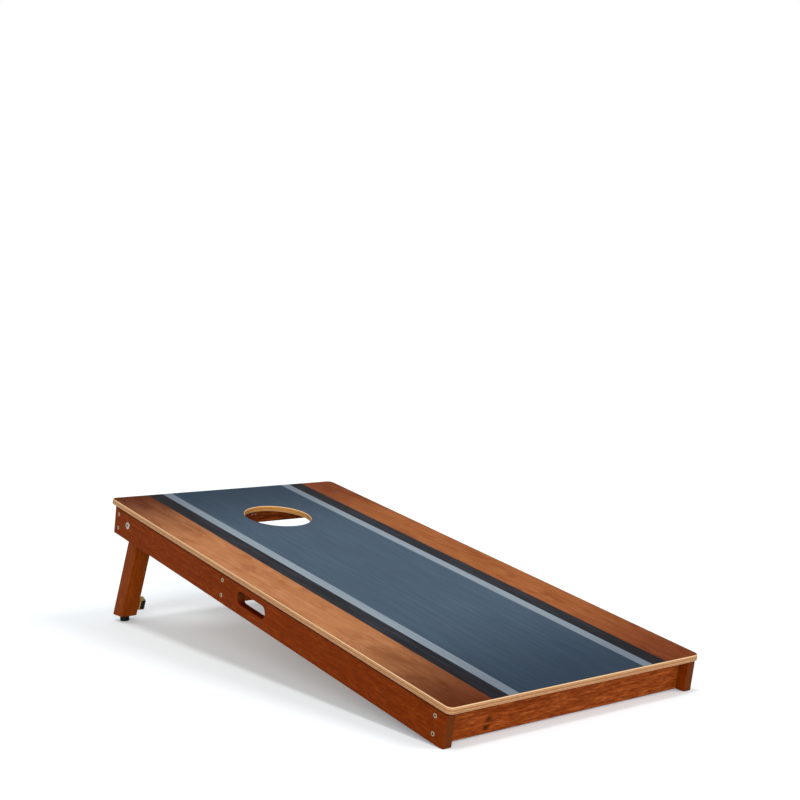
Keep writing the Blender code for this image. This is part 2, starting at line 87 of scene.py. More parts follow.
# Frame boards and legs; in a rail's hand slot, the wall is where the normal's part along the slot's
# depth is under SLOT_WALL_LEAN
BOARD_EASE = 0.0013
LEG_EASE = 0.0034
LEG_TOP_ROUND = 0.018
REST_FLAT = 0.010
SLOT_FROM_FRONT = 0.6070
SLOT_DROP = 0.0420
SLOT_LENGTH = 0.1016
SLOT_HEIGHT = 0.0254
SLOT_EASE = 0.0030
SLOT_WALL_LEAN = 0.65

# Room that the boards leave for their fasteners; a cutter stands out of the wood by CUTTER_PROUD
CUTTER_PROUD = 0.001
SEAT_MARGIN = 0.0004
SEAT_DEPTH = 0.0007
SOCKET_ROOM = 0.0024
PIVOT_BORE = 0.0037
PIVOT_BORE_DEPTH = 0.0050
POCKET_ANGLE = math.radians(15)
POCKET_RADIUS = 0.0048
POCKET_REACH = 0.060
POCKET_SEAT = 0.0028

# Each kind of screw: radius of its shank and of its driver recess as shares of its head's radius, and
# the height of its dome, which is none for a countersunk screw
SCREWS = {"frame_screw": (0.49, 0.58, 0.0), "pocket_screw": (0.47, 0.42, 0.0025),
          "face_screw": (0.46, 0.42, 0.0018), "foot_screw": (0.56, 0.42, 0.0022),
          "catch_screw": (0.50, 0.42, 0.0), "strike_screw": (0.50, 0.42, 0.0)}

# Pivot bolt and the room round it in its washers and nut
BOLT_SHANK = 0.004
BOLT_HEAD = 0.0019
BOLT_SOCKET = 0.0033
BOLT_SOCKET_DEPTH = 0.0040
BORE_ROOM = 0.0003

# Each board's own stretch of grain, and where its knots are: along the grain, then across it
GRAIN_OFFSETS = {"front_apron": 5.3, "centre_brace": 6.9, "back_apron": 8.1, "rail_left": -2.0,
                 "rail_right": 2.3, "leg_left": -5.0, "leg_right": 11.0}
KNOTS = ((GRAIN_OFFSETS["front_apron"] - 0.193, -0.0095, -0.020),
         (GRAIN_OFFSETS["front_apron"] - 0.189, -0.0095, -0.005),
         (GRAIN_OFFSETS["back_apron"] + 0.120, 0.0095, 0.008),
         (GRAIN_OFFSETS["rail_right"] - 0.280, 0.0095, 0.016))

# Looks: how far from the deck's middle its darker ends start and are full, partly sprayed end stain and
# partly painted shade where the light falls off, and how far that wavers; the stain on end grain; the
# thickness of two plies; how far below a rail's top its painted shade line, under the deck, starts and is
# full
DECK_END_DARK_REACH = (0.27, 0.675)
DECK_END_DARK_WAVER = 0.10
END_GRAIN = (0.085, 0.023, 0.0055, 1.0)
PLY_PAIR = 0.0049
SHADE_LINE_DROP = (0.00485, 0.00225)

# Camera and lights
CAMERA_PLACE = (-1.6770, -2.2492, 0.6640)
CAMERA_TURN = (87.25, -0.21, -37.95)
CAMERA_LENS = 61.05
ROOM_LIGHT = 0.50
FLOOR_GLOW = 0.20
BACKGROUND_LIGHT = 1.0
SUN_DISTANCE = 4.0
FLOOR_RADIUS = 60.0

# Each sun's name, azimuth, elevation, strength and softness; the angles are degrees
SUNS = (("front_key", -38, 15, 2.60, 40),
        ("top_sun", -60, 79, 0.95, 12),
        ("right_sun", 32, 48, 0.90, 24))


# ---------------------------------------------------------------- frames and measures

def local_box(node, place):
    """Lowest and highest corner of a CAD node in the frame that place stands for."""
    back = place.inverted()
    points = [back @ vertex.co for vertex in frame["nodes"][node].data.vertices]
    return Vector(map(min, *points)), Vector(map(max, *points))


def face_normal(node, direction):
    """Normal of the node's largest face that looks along direction."""
    faces = frame["nodes"][node].data.polygons
    return max(faces, key=lambda face: face.area * face.normal.dot(direction)).normal


def board_frame():
    """x across, y up the slope from the deck's low edge, z out of the deck's top face (z = 0)."""
    normal = face_normal("deck", Vector((0, 0, 1)))
    slope = Matrix.Rotation(math.atan2(-normal.y, normal.z), 4, "X")
    low, high = local_box("deck", slope)
    return slope @ Matrix.Translation((0, low.y, high.z))


def slope_of(place):
    """Angle that a frame is turned by about x."""
    return math.atan2(place[2][1], place[1][1])


def leg_frame(side):
    """Origin on the pivot, -z down the leg and -y out of its front face."""
    joint = next(joint for joint in frame["joints"] if joint["child"] == "leg_" + side)
    normal = face_normal("leg_" + side, Vector((0, -1, 0)))
    lean = Matrix.Rotation(math.atan2(-normal.z, -normal.y), 4, "X")
    return Matrix.Translation(joint["pos_m"]) @ lean


BOARD = board_frame()
LEGS = {side: leg_frame(side) for side in SIDES}


def fastener_turn(direction):
    """Turn whose +z is along direction and whose other axes are squared to the board."""
    flat = BOARD.to_3x3()
    return (flat @ (flat.inverted() @ direction).to_track_quat("Z", "Y").to_matrix()).to_4x4()


def fastener_frame(node, direction):
    """Origin on the fastener's axis at its outer end, +z along direction, out of its head."""
    turn = fastener_turn(direction)
    low, high = local_box(node, turn)
    return turn @ Matrix.Translation(((low.x + high.x) / 2, (low.y + high.y) / 2, high.z))


def fastener_size(node, direction):
    """Greatest radius and length of a fastener along direction."""
    low, high = local_box(node, fastener_turn(direction))
    return max(high.x - low.x, high.y - low.y) / 2, high.z - low.z


# ---------------------------------------------------------------- meshes

def finished(bm, name):
    """The mesh that was built in bm, shaded smooth on its curves."""
    bmesh.ops.recalc_face_normals(bm, faces=bm.faces)
    mesh = bpy.data.meshes.new(name)
    bm.to_mesh(mesh)
    bm.free()
    mesh.shade_smooth()
    mesh.set_sharp_from_angle(angle=SHARP_ANGLE)
    return mesh


def prism(outline, low, high, axis):
    """Extrudes (y, z) points along x, (x, z) points along y or (x, y) points along z."""
    def point(a, b, along):
        return {"x": (along, a, b), "y": (a, along, b), "z": (a, b, along)}[axis]

    bm = bmesh.new()
    face = bm.faces.new([bm.verts.new(point(a, b, low)) for a, b in outline])
    travel = Vector(point(0, 0, high - low))
    extruded = bmesh.ops.extrude_face_region(bm, geom=[face])["geom"]
    far_points = [item for item in extruded if isinstance(item, bmesh.types.BMVert)]
    bmesh.ops.translate(bm, vec=travel, verts=far_points)
    return finished(bm, "prism")


def rectangle(low_a, low_b, high_a, high_b):
    return [(low_a, low_b), (high_a, low_b), (high_a, high_b), (low_a, high_b)]


def arc(centre, radius, start, end, steps):
    """Points on a circle between two angles in degrees."""
    angles = [math.radians(start + (end - start) * step / steps) for step in range(steps + 1)]
    return [(centre[0] + radius * math.cos(a), centre[1] + radius * math.sin(a)) for a in angles]


def rounded_rectangle(low, high, radius, steps):
    """Outline with round corners between two corner points."""
    points = []
    for x, y, start in ((high[0] - radius, high[1] - radius, 0), (low[0] + radius, high[1] - radius, 90),
                        (low[0] + radius, low[1] + radius, 180), (high[0] - radius, low[1] + radius, 270)):
        points += arc((x, y), radius, start, start + 90, steps)
    return points


def circle(_):
    return 1.0


def star(angle):
    """Six-lobed driver recess of unit size."""
    return 0.88 + 0.12 * math.cos(6 * angle)


def hexagon(angle):
    """Hexagon whose corners are at unit distance."""
    return math.cos(math.pi / 6) / math.cos(angle % (math.pi / 3) - math.pi / 6)


def ringed(rings, steps=48, closed=False):
    """Solid through rings of (height, radius, shape) about z; a closed one has a bore."""
    bm = bmesh.new()
    loops = []
    for height, radius, shape in rings:
        angles = [math.tau * step / steps for step in range(steps)]
        loops.append([bm.verts.new((radius * shape(a) * math.cos(a), radius * shape(a) * math.sin(a), height))
                      for a in angles])
    pairs = list(zip(loops, loops[1:]))
    if closed:
        pairs.append((loops[-1], loops[0]))
    else:
        bm.faces.new(loops[0])
        bm.faces.new(loops[-1])
    for first, second in pairs:
        for index in range(steps):
            after = (index + 1) % steps
            bm.faces.new((first[index], first[after], second[after], second[index]))
    return finished(bm, "rings")


def turned(*points):
    """Rings of plain circles from (radius, height) points."""
    return [(height, radius, circle) for radius, height in points]


def quarter_round(radius, height, ease, steps=4):
    """Circles that round an outer edge over, from its flat end face down to its side."""
    angles = [math.radians(90 - 90 * step / steps) for step in range(steps + 1)]
    return turned(*[(radius - ease + ease * math.cos(a), height - ease + ease * math.sin(a)) for a in angles])


def flared(outline_at, thickness, ease, steps=7):
    """Cutter along z for a hole whose rims are rounded over at both faces."""
    mouth, proud = 0.004, 0.02 * ease
    quarter = [math.pi / 2 * step / steps for step in range(steps + 1)]
    face = thickness / 2 + proud
    upper = [(face - ease * (1 - math.sin(a)), ease * (1 - math.cos(a))) for a in quarter]
    upper.append((face + mouth, ease))
    levels = [(-height, offset) for height, offset in reversed(upper)] + upper
    bm = bmesh.new()
    loops = [[bm.verts.new((x, y, height)) for x, y in outline_at(offset)] for height, offset in levels]
    for first, second in zip(loops, loops[1:]):
        for index in range(len(first)):
            after = (index + 1) % len(first)
            bm.faces.new((first[index], first[after], second[after], second[index]))
    bm.faces.new(loops[0])
    bm.faces.new(loops[-1])
    return finished(bm, "flared")


def moved(mesh, place):
    mesh.transform(place)
    return mesh


def shaped(mesh, ease=0.0, ease_steps=4, cutters=()):
    """The mesh with its sharp edges eased and its cutters taken away, shaded smooth on its curves."""
    work = bpy.data.objects.new("work", mesh)
    bpy.context.scene.collection.objects.link(work)
    tools = [work]
    if ease:
        bevel = work.modifiers.new("eased", "BEVEL")
        bevel.width = ease
        bevel.segments = ease_steps
        bevel.limit_method = "ANGLE"
        bevel.angle_limit = EASE_ANGLE
    for cutter in cutters:
        tool = bpy.data.objects.new("cutter", cutter)
        bpy.context.scene.collection.objects.link(tool)
        tools.append(tool)
        boolean = work.modifiers.new("cut", "BOOLEAN")
        boolean.operation = "DIFFERENCE"
        boolean.solver = "EXACT"
        boolean.object = tool
    graph = bpy.context.evaluated_depsgraph_get()
    made = bpy.data.meshes.new_from_object(work.evaluated_get(graph))
    for tool in tools:
        bpy.data.objects.remove(tool)
    made.shade_smooth()
    made.set_sharp_from_angle(angle=SHARP_ANGLE)
    return made


def keep_coordinates(mesh, grain, offset, round_plan):
    """Stores each point's place from the mesh's middle, grain first, and how far it is on an edge's
    rounding ("rim") or on an end face across the grain ("end")."""
    order = ["xyz".index(letter) for letter in grain]
    low, high = (Vector(map(pick, *(vertex.co for vertex in mesh.vertices))) for pick in (min, max))
    middle = (low + high) / 2
    full_turn = 1 - math.sqrt(0.5)
    mesh.attributes.new("grain", "FLOAT_VECTOR", "POINT")
    for name in ("rim", "end"):
        mesh.attributes.new(name, "FLOAT", "POINT")
    places, rims, ends = (mesh.attributes[name].data for name in ("grain", "rim", "end"))
    for vertex, place, rim, end in zip(mesh.vertices, places, rims, ends):
        along, *across = [vertex.co[axis] - middle[axis] for axis in order]
        place.vector = (along + offset, *across)
        x, y, z = map(abs, vertex.normal)
        flattest = max(z, math.hypot(x, y)) if round_plan else max(x, y, z)
        rim.value = min(1.0, (1 - flattest) / full_turn)
        end.value = abs(vertex.normal[order[0]])


def add_piece(node, mesh, place, body, materials, grain="xyz", offset=0.0, round_plan=False):
    """The finer piece that stands for a CAD node; offset gives each board its own stretch of grain."""
    keep_coordinates(mesh, grain, offset, round_plan)
    mesh.transform(place)
    mesh.name = node + "_look"
    for material in materials:
        mesh.materials.append(material)
    piece = bpy.data.objects.new(node + "_look", mesh)
    bpy.context.scene.collection.objects.link(piece)
    normals = piece.modifiers.new("normals", "WEIGHTED_NORMAL")
    normals.keep_sharp = True
    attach(piece, body)
    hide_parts(node)
    return piece


# ---------------------------------------------------------------- material building

class Tree:
    """One material's nodes, added by short calls; an input may be a number, a colour or a socket."""

    def __init__(self, name):
        self.material = bpy.data.materials.new(name)
        self.material.use_nodes = True
        self.tree = self.material.node_tree
        self.shader = self.tree.nodes["Principled BSDF"]

    def fill(self, socket, value):
        if isinstance(value, bpy.types.NodeSocket):
            self.tree.links.new(value, socket)
        else:
            socket.default_value = value

    def node(self, kind, inputs=None, **settings):
        made = self.tree.nodes.new("ShaderNode" + kind)
        for name, value in settings.items():
            setattr(made, name, value)
        for name, value in (inputs or {}).items():
            self.fill(made.inputs[name], value)
        return made

    def maths(self, operation, first, second=0.0):
        return self.node("Math", {0: first, 1: second}, operation=operation).outputs[0]

    def local(self):
        """The piece's own coordinates from its middle, grain first, in metres."""
        return self.node("Attribute", attribute_name="grain").outputs["Vector"]

    def rim(self):
        """1 on the roundings of the piece's edges, 0 on its flat faces."""
        return self.node("Attribute", attribute_name="rim").outputs["Fac"]

    def end_grain(self):
        """1 on faces cut across the grain, 0 on faces along it."""
        return self.spread(self.node("Attribute", attribute_name="end").outputs["Fac"], 0.75, 0.95)

    def parts(self, vector):
        return self.node("SeparateXYZ", {0: vector}).outputs

    def scaled(self, vector, factors):
        return self.node("VectorMath", {0: vector, 1: factors}, operation="MULTIPLY").outputs[0]

    def figure(self, local, along, across, **settings):
        """Noise drawn out along the grain, by its marks to the metre along and across it."""
        return self.noise(self.scaled(local, (along, across, across)), **settings)

    def distance(self, vector, centre):
        return self.node("VectorMath", {0: vector, 1: centre}, operation="DISTANCE").outputs["Value"]

    def noise(self, vector, scale=1.0, detail=3.0, roughness=0.5, distortion=0.0):
        return self.node("TexNoise", {"Vector": vector, "Scale": scale, "Detail": detail,
                                      "Roughness": roughness, "Distortion": distortion}).outputs["Fac"]

    def spread(self, value, low, high, out_low=0.0, out_high=1.0, smooth=False):
        """Remaps a value from one range to another, held at its ends."""
        return self.node("MapRange", {"Value": value, "From Min": low, "From Max": high,
                                      "To Min": out_low, "To Max": out_high},
                         interpolation_type="SMOOTHSTEP" if smooth else "LINEAR").outputs["Result"]

    def blend(self, share, first, second, kind="MIX"):
        made = self.node("Mix", data_type="RGBA", blend_type=kind)
        for name, value in (("Factor_Float", share), ("A_Color", first), ("B_Color", second)):
            self.fill(next(item for item in made.inputs if item.identifier == name), value)
        return next(item for item in made.outputs if item.identifier == "Result_Color")

    def layer(self, base, over, value, reach, shares, smooth=False):
        """Lays over on base by a share that goes through shares as value goes through reach."""
        return self.blend(self.spread(value, *reach, *shares, smooth=smooth), base, over)

    def stain(self, base, over, share, amount):
        """Lays over on base by an amount of a share."""
        return self.blend(self.maths("MULTIPLY", share, amount), base, over)

    def bump(self, height, distance, strength):
        inputs = {"Height": height, "Distance": distance, "Strength": strength}
        return self.node("Bump", inputs).outputs["Normal"]

    def finish(self, **sockets):
        for name, value in sockets.items():
            self.fill(self.shader.inputs[name.replace("_", " ")], value)
        return self.material


def colour(red, green, blue):
    """Linear colour from the usual 0 to 255 display values."""
    def linear(value):
        value /= 255
        return value / 12.92 if value <= 0.04045 else ((value + 0.055) / 1.055) ** 2.4
    return (linear(red), linear(green), linear(blue), 1.0)


def shaded(base_colour, factor):
    return tuple(min(1.0, channel * factor) for channel in base_colour[:3]) + (1.0,)


def growth_rings(tree, local):
    """Dark share of the rings round a pith that lies beside the board, wandering along it."""
    pith = (0.0, -0.052, 0.012)
    ring_gap, wander_reach = 0.0042, 0.016
    late_start, late_end = 0.45, 0.92
    wander = tree.figure(local, 1.3, 5.0, detail=2.0, distortion=0.2)
    radius = tree.distance(tree.scaled(local, (0.0, 1.0, 1.0)), pith)
    radius = tree.maths("ADD", radius, tree.maths("MULTIPLY", wander, wander_reach))
    phase = tree.maths("FRACT", tree.maths("DIVIDE", radius, ring_gap))
    rising = tree.spread(phase, late_start, late_end, smooth=True)
    falling = tree.spread(phase, late_end, 1.0, 1.0, 0.0, smooth=True)
    return tree.maths("MULTIPLY", rising, falling)


def knots(tree, local):
    """Dark share of the small knots, each with a soft stained halo."""
    stretch, raggedness = 0.75, 0.007
    core, halo = 0.0050, 0.0115
    jitter = tree.figure(local, 120.0, 260.0, detail=3.0)
    total = 0.0
    for along, *across in KNOTS:
        squashed = tree.distance(tree.scaled(local, (stretch, 1.0, 1.0)), (stretch * along, *across))
        ragged = tree.maths("ADD", squashed, tree.maths("MULTIPLY", jitter, raggedness))
        share = tree.spread(ragged, core, halo, 1.0, 0.0, smooth=True)
        total = tree.maths("MAXIMUM", total, share)
    return total


def timber(name, dark, middle, light, contrast, shade_top=None):
    """Stained red-brown hardwood: rings, drifting stain, streaks, pores, knots and dark end grain.
    A dark line of painted shade, for the shadow under the deck's overhang, runs just below a height given
    from the board's middle."""
    tree = Tree(name)
    local = tree.local()
    drift = tree.figure(local, 2.2, 9.0, detail=2.0, distortion=0.4)
    blotch = tree.figure(local, 20.0, 130.0, detail=4.0, roughness=0.65, distortion=0.3)
    streak = tree.figure(local, 12.0, 200.0, detail=4.0, roughness=0.6)
    fleck = tree.figure(local, 60.0, 420.0, detail=2.0, distortion=0.2)
    fibre = tree.figure(local, 60.0, 800.0, detail=3.0, roughness=0.6)
    pore = tree.spread(tree.figure(local, 90.0, 1300.0, detail=1.0), 0.32, 0.42, 1.0, 0.0)
    rings = growth_rings(tree, local)
    base = tree.blend(0.30, middle, dark)
    base = tree.layer(base, middle, drift, (0.30, 0.70), (0.0, 1.0), smooth=True)
    base = tree.layer(base, light, blotch, (0.42, 0.70), (0.0, 1.5 * contrast), smooth=True)
    base = tree.stain(base, dark, rings, 0.6 * contrast)
    base = tree.layer(base, dark, fleck, (0.38, 0.52), (1.3 * contrast, 0.0))
    base = tree.layer(base, dark, streak, (0.34, 0.60), (1.2 * contrast, 0.0))
    base = tree.layer(base, light, fibre, (0.55, 0.75), (0.0, 1.2 * contrast))
    base = tree.stain(base, shaded(dark, 0.45), pore, 1.3 * contrast)
    base = tree.stain(base, shaded(dark, 0.35), knots(tree, local), 0.80)
    base = tree.stain(base, END_GRAIN, tree.end_grain(), 0.80)
    # Painted shade: a dark band just below the rail's top, where the deck's overhang shades it
    if shade_top is not None:
        reach = [shade_top - drop for drop in SHADE_LINE_DROP]
        base = tree.layer(base, shaded(dark, 0.30), tree.parts(local)["Z"], reach, (0.0, 0.80), smooth=True)
    # Lighter rounded edges in patches: partly edge wear, partly a painted highlight where the rims catch the
    # light
    rim_patches = tree.figure(local, 40.0, 120.0, detail=3.0)
    wear_and_highlight = tree.maths("MULTIPLY", tree.rim(), tree.spread(rim_patches, 0.48, 0.70, 0.0, 0.45))
    base = tree.blend(wear_and_highlight, base, shaded(light, 1.25))
    height = tree.maths("SUBTRACT", tree.maths("MULTIPLY", fibre, 0.7), pore)
    height = tree.maths("SUBTRACT", height, tree.maths("MULTIPLY", rings, 0.25))
    rough = tree.maths("ADD", tree.spread(streak, 0.3, 0.7, 0.50, 0.38), tree.maths("MULTIPLY", pore, 0.20))
    return tree.finish(Base_Color=base, Roughness=rough, Normal=tree.bump(height, 0.00010, 0.7),
                       Specular_IOR_Level=0.012)


def end_share(tree, local, uneven):
    """Share that rises smoothly towards both ends of the deck, with an uneven front."""
    along = tree.maths("ABSOLUTE", tree.parts(local)["X"])
    wavering = tree.maths("ADD", along, tree.maths("MULTIPLY", uneven, DECK_END_DARK_WAVER))
    return tree.spread(wavering, *DECK_END_DARK_REACH, smooth=True)


def deck_veneer():
    """Red-brown stained face veneer, darker towards the deck's two ends: partly sprayed stain, partly painted
    shade.
    """
    tree = Tree("deck_veneer")
    local = tree.local()
    blotch = tree.figure(local, 7.0, 16.0, detail=3.0, roughness=0.55, distortion=0.9)
    mottle = tree.figure(local, 16.0, 52.0, detail=4.0, roughness=0.62, distortion=0.5)
    streak = tree.figure(local, 5.0, 120.0, detail=3.0, roughness=0.55)
    fibre = tree.figure(local, 40.0, 700.0, detail=3.0, roughness=0.6)
    pore = tree.spread(tree.figure(local, 70.0, 1400.0, detail=1.0), 0.30, 0.40, 1.0, 0.0)
    # Painted reflection: the middle of the deck's left half is lighter than its right; the end tones are
    # blended across the same way
    reflection_side = tree.spread(tree.parts(local)["Y"], -0.26, 0.26)
    middle = tree.blend(reflection_side, colour(168, 111, 71), colour(146, 84, 43))
    end_stain_and_shade = tree.blend(reflection_side, colour(84, 36, 12), colour(110, 52, 23))
    # Darker towards both ends: partly a sprayed end stain, partly painted shade where the light falls off
    base = tree.blend(end_share(tree, local, blotch), middle, end_stain_and_shade)
    darker = tree.blend(1.0, base, (0.70, 0.60, 0.52, 1.0), "MULTIPLY")
    lighter = tree.blend(1.0, base, (1.12, 1.20, 1.28, 1.0), "MULTIPLY")
    base = tree.layer(base, darker, blotch, (0.47, 0.62), (0.0, 0.70), smooth=True)
    base = tree.layer(base, lighter, mottle, (0.42, 0.66), (0.0, 1.0), smooth=True)
    base = tree.layer(base, darker, streak, (0.34, 0.58), (0.38, 0.0))
    base = tree.layer(base, darker, fibre, (0.30, 0.48), (0.45, 0.0))
    base = tree.stain(base, darker, pore, 0.50)
    height = tree.maths("SUBTRACT", tree.maths("MULTIPLY", fibre, 0.6), pore)
    return tree.finish(Base_Color=base, Roughness=tree.spread(streak, 0.3, 0.7, 0.50, 0.40),
                       Normal=tree.bump(height, 0.00007, 0.6), Specular_IOR_Level=0.015)


def paint(name, base_colour, veil, end_fade_and_shade):
    """Satin paint over the veneer, whose figure and streaks show through by the veil's share; it darkens
    towards the deck's ends, partly as a sprayed fade and partly as painted shade.
    """
    tree = Tree(name)
    local = tree.local()
    cloud = tree.figure(local, 4.0, 11.0, detail=4.0, roughness=0.6, distortion=0.6)
    streak = tree.figure(local, 7.0, 190.0, detail=4.0, roughness=0.6)
    fibre = tree.figure(local, 45.0, 900.0, detail=2.0)
    base = tree.layer(shaded(base_colour, 1 - veil), shaded(base_colour, 1 + veil), cloud, (0.30, 0.70),
                      (0.0, 1.0), smooth=True)
    base = tree.layer(base, shaded(base_colour, 1 - 2.2 * veil), streak, (0.38, 0.56), (0.75, 0.0))
    base = tree.layer(base, shaded(base_colour, 1 + 1.8 * veil), streak, (0.54, 0.66), (0.0, 0.75))
    base = tree.layer(base, shaded(base_colour, 1 + 2.5 * veil), fibre, (0.56, 0.72), (0.0, 0.45))
    # Sprayed fade and painted shade: the paint darkens towards both ends of the deck
    base = tree.blend(end_share(tree, local, cloud), base, end_fade_and_shade, "MULTIPLY")
    height = tree.maths("ADD", tree.maths("MULTIPLY", streak, 0.4), tree.maths("MULTIPLY", fibre, 0.6))
    return tree.finish(Base_Color=base, Roughness=tree.spread(cloud, 0.3, 0.7, 0.43, 0.54),
                       Normal=tree.bump(height, 0.00006, 0.6), Specular_IOR_Level=0.05)


def ply_edge(name, pale, tan, dark):
    """Bare plies through the deck's thickness: pale faces, thin glue lines, tan cores, and a painted
    highlight on the rounded rims.
    """
    tree = Tree(name)
    local = tree.local()
    waver = tree.noise(tree.scaled(local, (22.0, 22.0, 40.0)), detail=2.0)
    depth = tree.maths("ADD", tree.parts(local)["Z"], tree.spread(waver, 0.0, 1.0, -0.0003, 0.0003))
    phase = tree.maths("FRACT", tree.maths("ADD", tree.maths("DIVIDE", depth, PLY_PAIR), 10.25))
    core = tree.maths("MULTIPLY", tree.spread(phase, 0.00, 0.08, smooth=True),
                      tree.spread(phase, 0.50, 0.58, 1.0, 0.0, smooth=True))
    glue = tree.maths("MULTIPLY", tree.spread(phase, 0.46, 0.51), tree.spread(phase, 0.53, 0.58, 1.0, 0.0))
    fibre = tree.noise(tree.scaled(local, (140.0, 140.0, 1600.0)), detail=3.0, roughness=0.6)
    blotch = tree.noise(tree.scaled(local, (14.0, 14.0, 120.0)), detail=3.0)
    base = tree.blend(core, pale, tan)
    base = tree.layer(base, tan, blotch, (0.40, 0.70), (0.0, 0.40))
    base = tree.layer(base, dark, fibre, (0.32, 0.55), (0.50, 0.0))
    base = tree.stain(base, dark, glue, 0.95)
    # Painted highlight: the rounded rims of the plies are painted a pale cream
    base = tree.stain(base, colour(244, 212, 168), tree.rim(), 0.90)
    return tree.finish(Base_Color=base, Roughness=tree.spread(fibre, 0.3, 0.7, 0.62, 0.50),
                       Normal=tree.bump(fibre, 0.00015, 0.6), Specular_IOR_Level=0.15)


def bare_veneer():
    """Unstained birch face veneer, for the deck's underside."""
    tree = Tree("bare_veneer")
    local = tree.local()
    figure = tree.figure(local, 3.0, 20.0, detail=4.0, roughness=0.55, distortion=0.7)
    streak = tree.figure(local, 5.0, 160.0, detail=4.0, roughness=0.6)
    pores = tree.figure(local, 70.0, 1500.0, detail=2.0)
    base = tree.layer(colour(186, 138, 90), colour(208, 164, 116), figure, (0.3, 0.7), (0.0, 1.0))
    base = tree.layer(base, colour(150, 102, 60), streak, (0.36, 0.60), (0.35, 0.0))
    base = tree.layer(base, colour(130, 86, 48), pores, (0.28, 0.38), (0.45, 0.0))
    return tree.finish(Base_Color=base, Roughness=tree.spread(streak, 0.3, 0.7, 0.66, 0.54),
                       Normal=tree.bump(pores, 0.0001, 0.5), Specular_IOR_Level=0.25)


def metal(name, base_colour, roughness, marks_along, marks_across):
    """Plated metal with fine turning marks, dulled in patches."""
    tree = Tree(name)
    local = tree.local()
    marks = tree.figure(local, marks_along, marks_across, detail=3.0, roughness=0.6)
    stain = tree.figure(local, 180.0, 180.0, detail=3.0)
    base = tree.layer(base_colour, shaded(base_colour, 0.70), stain, (0.42, 0.70), (0.0, 0.7))
    return tree.finish(
        Base_Color=base, Metallic=1.0, Roughness=tree.spread(stain, 0.3, 0.7, roughness, roughness + 0.14),
        Normal=tree.bump(marks, 0.00003, 0.5))


def black_stuff(name, base_colour, roughness, pits_per_metre):
    """Moulded black rubber or ferrite with a fine pitted skin, dusty on its edges."""
    tree = Tree(name)
    local = tree.local()
    pits = tree.figure(local, pits_per_metre, pits_per_metre, detail=4.0, roughness=0.6)
    dust = tree.figure(local, 120.0, 120.0, detail=2.0)
    base = tree.layer(base_colour, shaded(base_colour, 1.8), dust, (0.50, 0.80), (0.0, 0.5))
    base = tree.stain(base, shaded(base_colour, 2.4), tree.rim(), 0.4)
    return tree.finish(
        Base_Color=base, Roughness=tree.spread(pits, 0.3, 0.7, roughness - 0.08, roughness + 0.08),
        Normal=tree.bump(pits, 0.0001, 0.5), Specular_IOR_Level=0.10)


def make_materials():
    low, high = local_box("rail_left", BOARD)
    rail_top = (high.z - low.z) / 2
    return {
        "ply": ply_edge("ply_edge", colour(180, 132, 90), colour(150, 103, 63), colour(80, 47, 24)),
        # The hole's wall is a brighter, yellower copy of the ply edge: painted light where the lamps fall
        # into the hole
        "ply_hole_lit": ply_edge("ply_hole_lit", colour(188, 133, 70), colour(156, 103, 46), colour(84, 46, 16)),
        "veneer": deck_veneer(),
        # The last value of each paint darkens it towards the deck's ends: partly sprayed fade, partly painted
        # shade
        "slate": paint("paint_slate", colour(63, 80, 96), 0.08, (0.38, 0.44, 0.49, 1.0)),
        "grey": paint("paint_grey", colour(128, 140, 149), 0.06, (0.62, 0.61, 0.65, 1.0)),
        "black": paint("paint_black", colour(37, 38, 44), 0.40, (0.42, 0.37, 0.42, 1.0)),
        "underside": bare_veneer(),
        # Rail timber is a darker copy of the cross boards' timber: painted shade for the rails' sides, which
        # face away from the lights; rail_top sets its painted shade line below the deck
        "rail": timber("rail_timber_shaded", colour(82, 26, 1), colour(110, 42, 4), colour(126, 56, 12), 0.26,
                       rail_top),
        # Slot timber is a darker copy of the rail timber: painted shade inside the hand slots
        "slot": timber("slot_timber_shaded", colour(54, 11, 3), colour(78, 20, 6), colour(92, 31, 10), 0.30),
        "cross": timber("cross_timber", colour(86, 30, 5), colour(134, 62, 20), colour(176, 94, 42), 0.45),
        "leg": timber("leg_timber", colour(84, 32, 4), colour(118, 52, 8), colour(140, 70, 22), 0.34),
        "screw": metal("screw_steel", colour(180, 160, 136), 0.38, 900.0, 900.0),
        # Near-black material inside screw and bolt recesses: painted shade in their hollows
        "recess": black_stuff("recess_painted_shade", colour(16, 10, 7), 0.80, 900.0),
        "bolt": metal("bolt_steel", colour(178, 172, 160), 0.30, 900.0, 900.0),
        "brass": metal("brass", colour(196, 158, 92), 0.32, 60.0, 1400.0),
        "magnet": black_stuff("magnet_black", colour(18, 16, 15), 0.45, 2200.0),
        "rubber": black_stuff("rubber", colour(14, 13, 13), 0.72, 1500.0),
    }


MATERIALS = make_materials()


# ---------------------------------------------------------------- deck

def deck_material(face, hole_y):
    """Index of a deck face's material: its bands and veneer on top, plies on its edges and hole."""
    x, y, _ = face.calc_center_median()
    if face.normal.z > FLAT:
        name = ("veneer", "black", "grey", "slate")[sum(abs(x) < band for band in BANDS)]
    elif face.normal.z < -FLAT:
        name = "underside"
    # The plies in the hole take a lighter copy of the ply edge: painted light
    elif math.hypot(x, y - hole_y) < HOLE_RADIUS + HOLE_EASE:
        name = "ply_hole_lit"
    else:
        name = "ply"
    return DECK_MATERIALS.index(name)


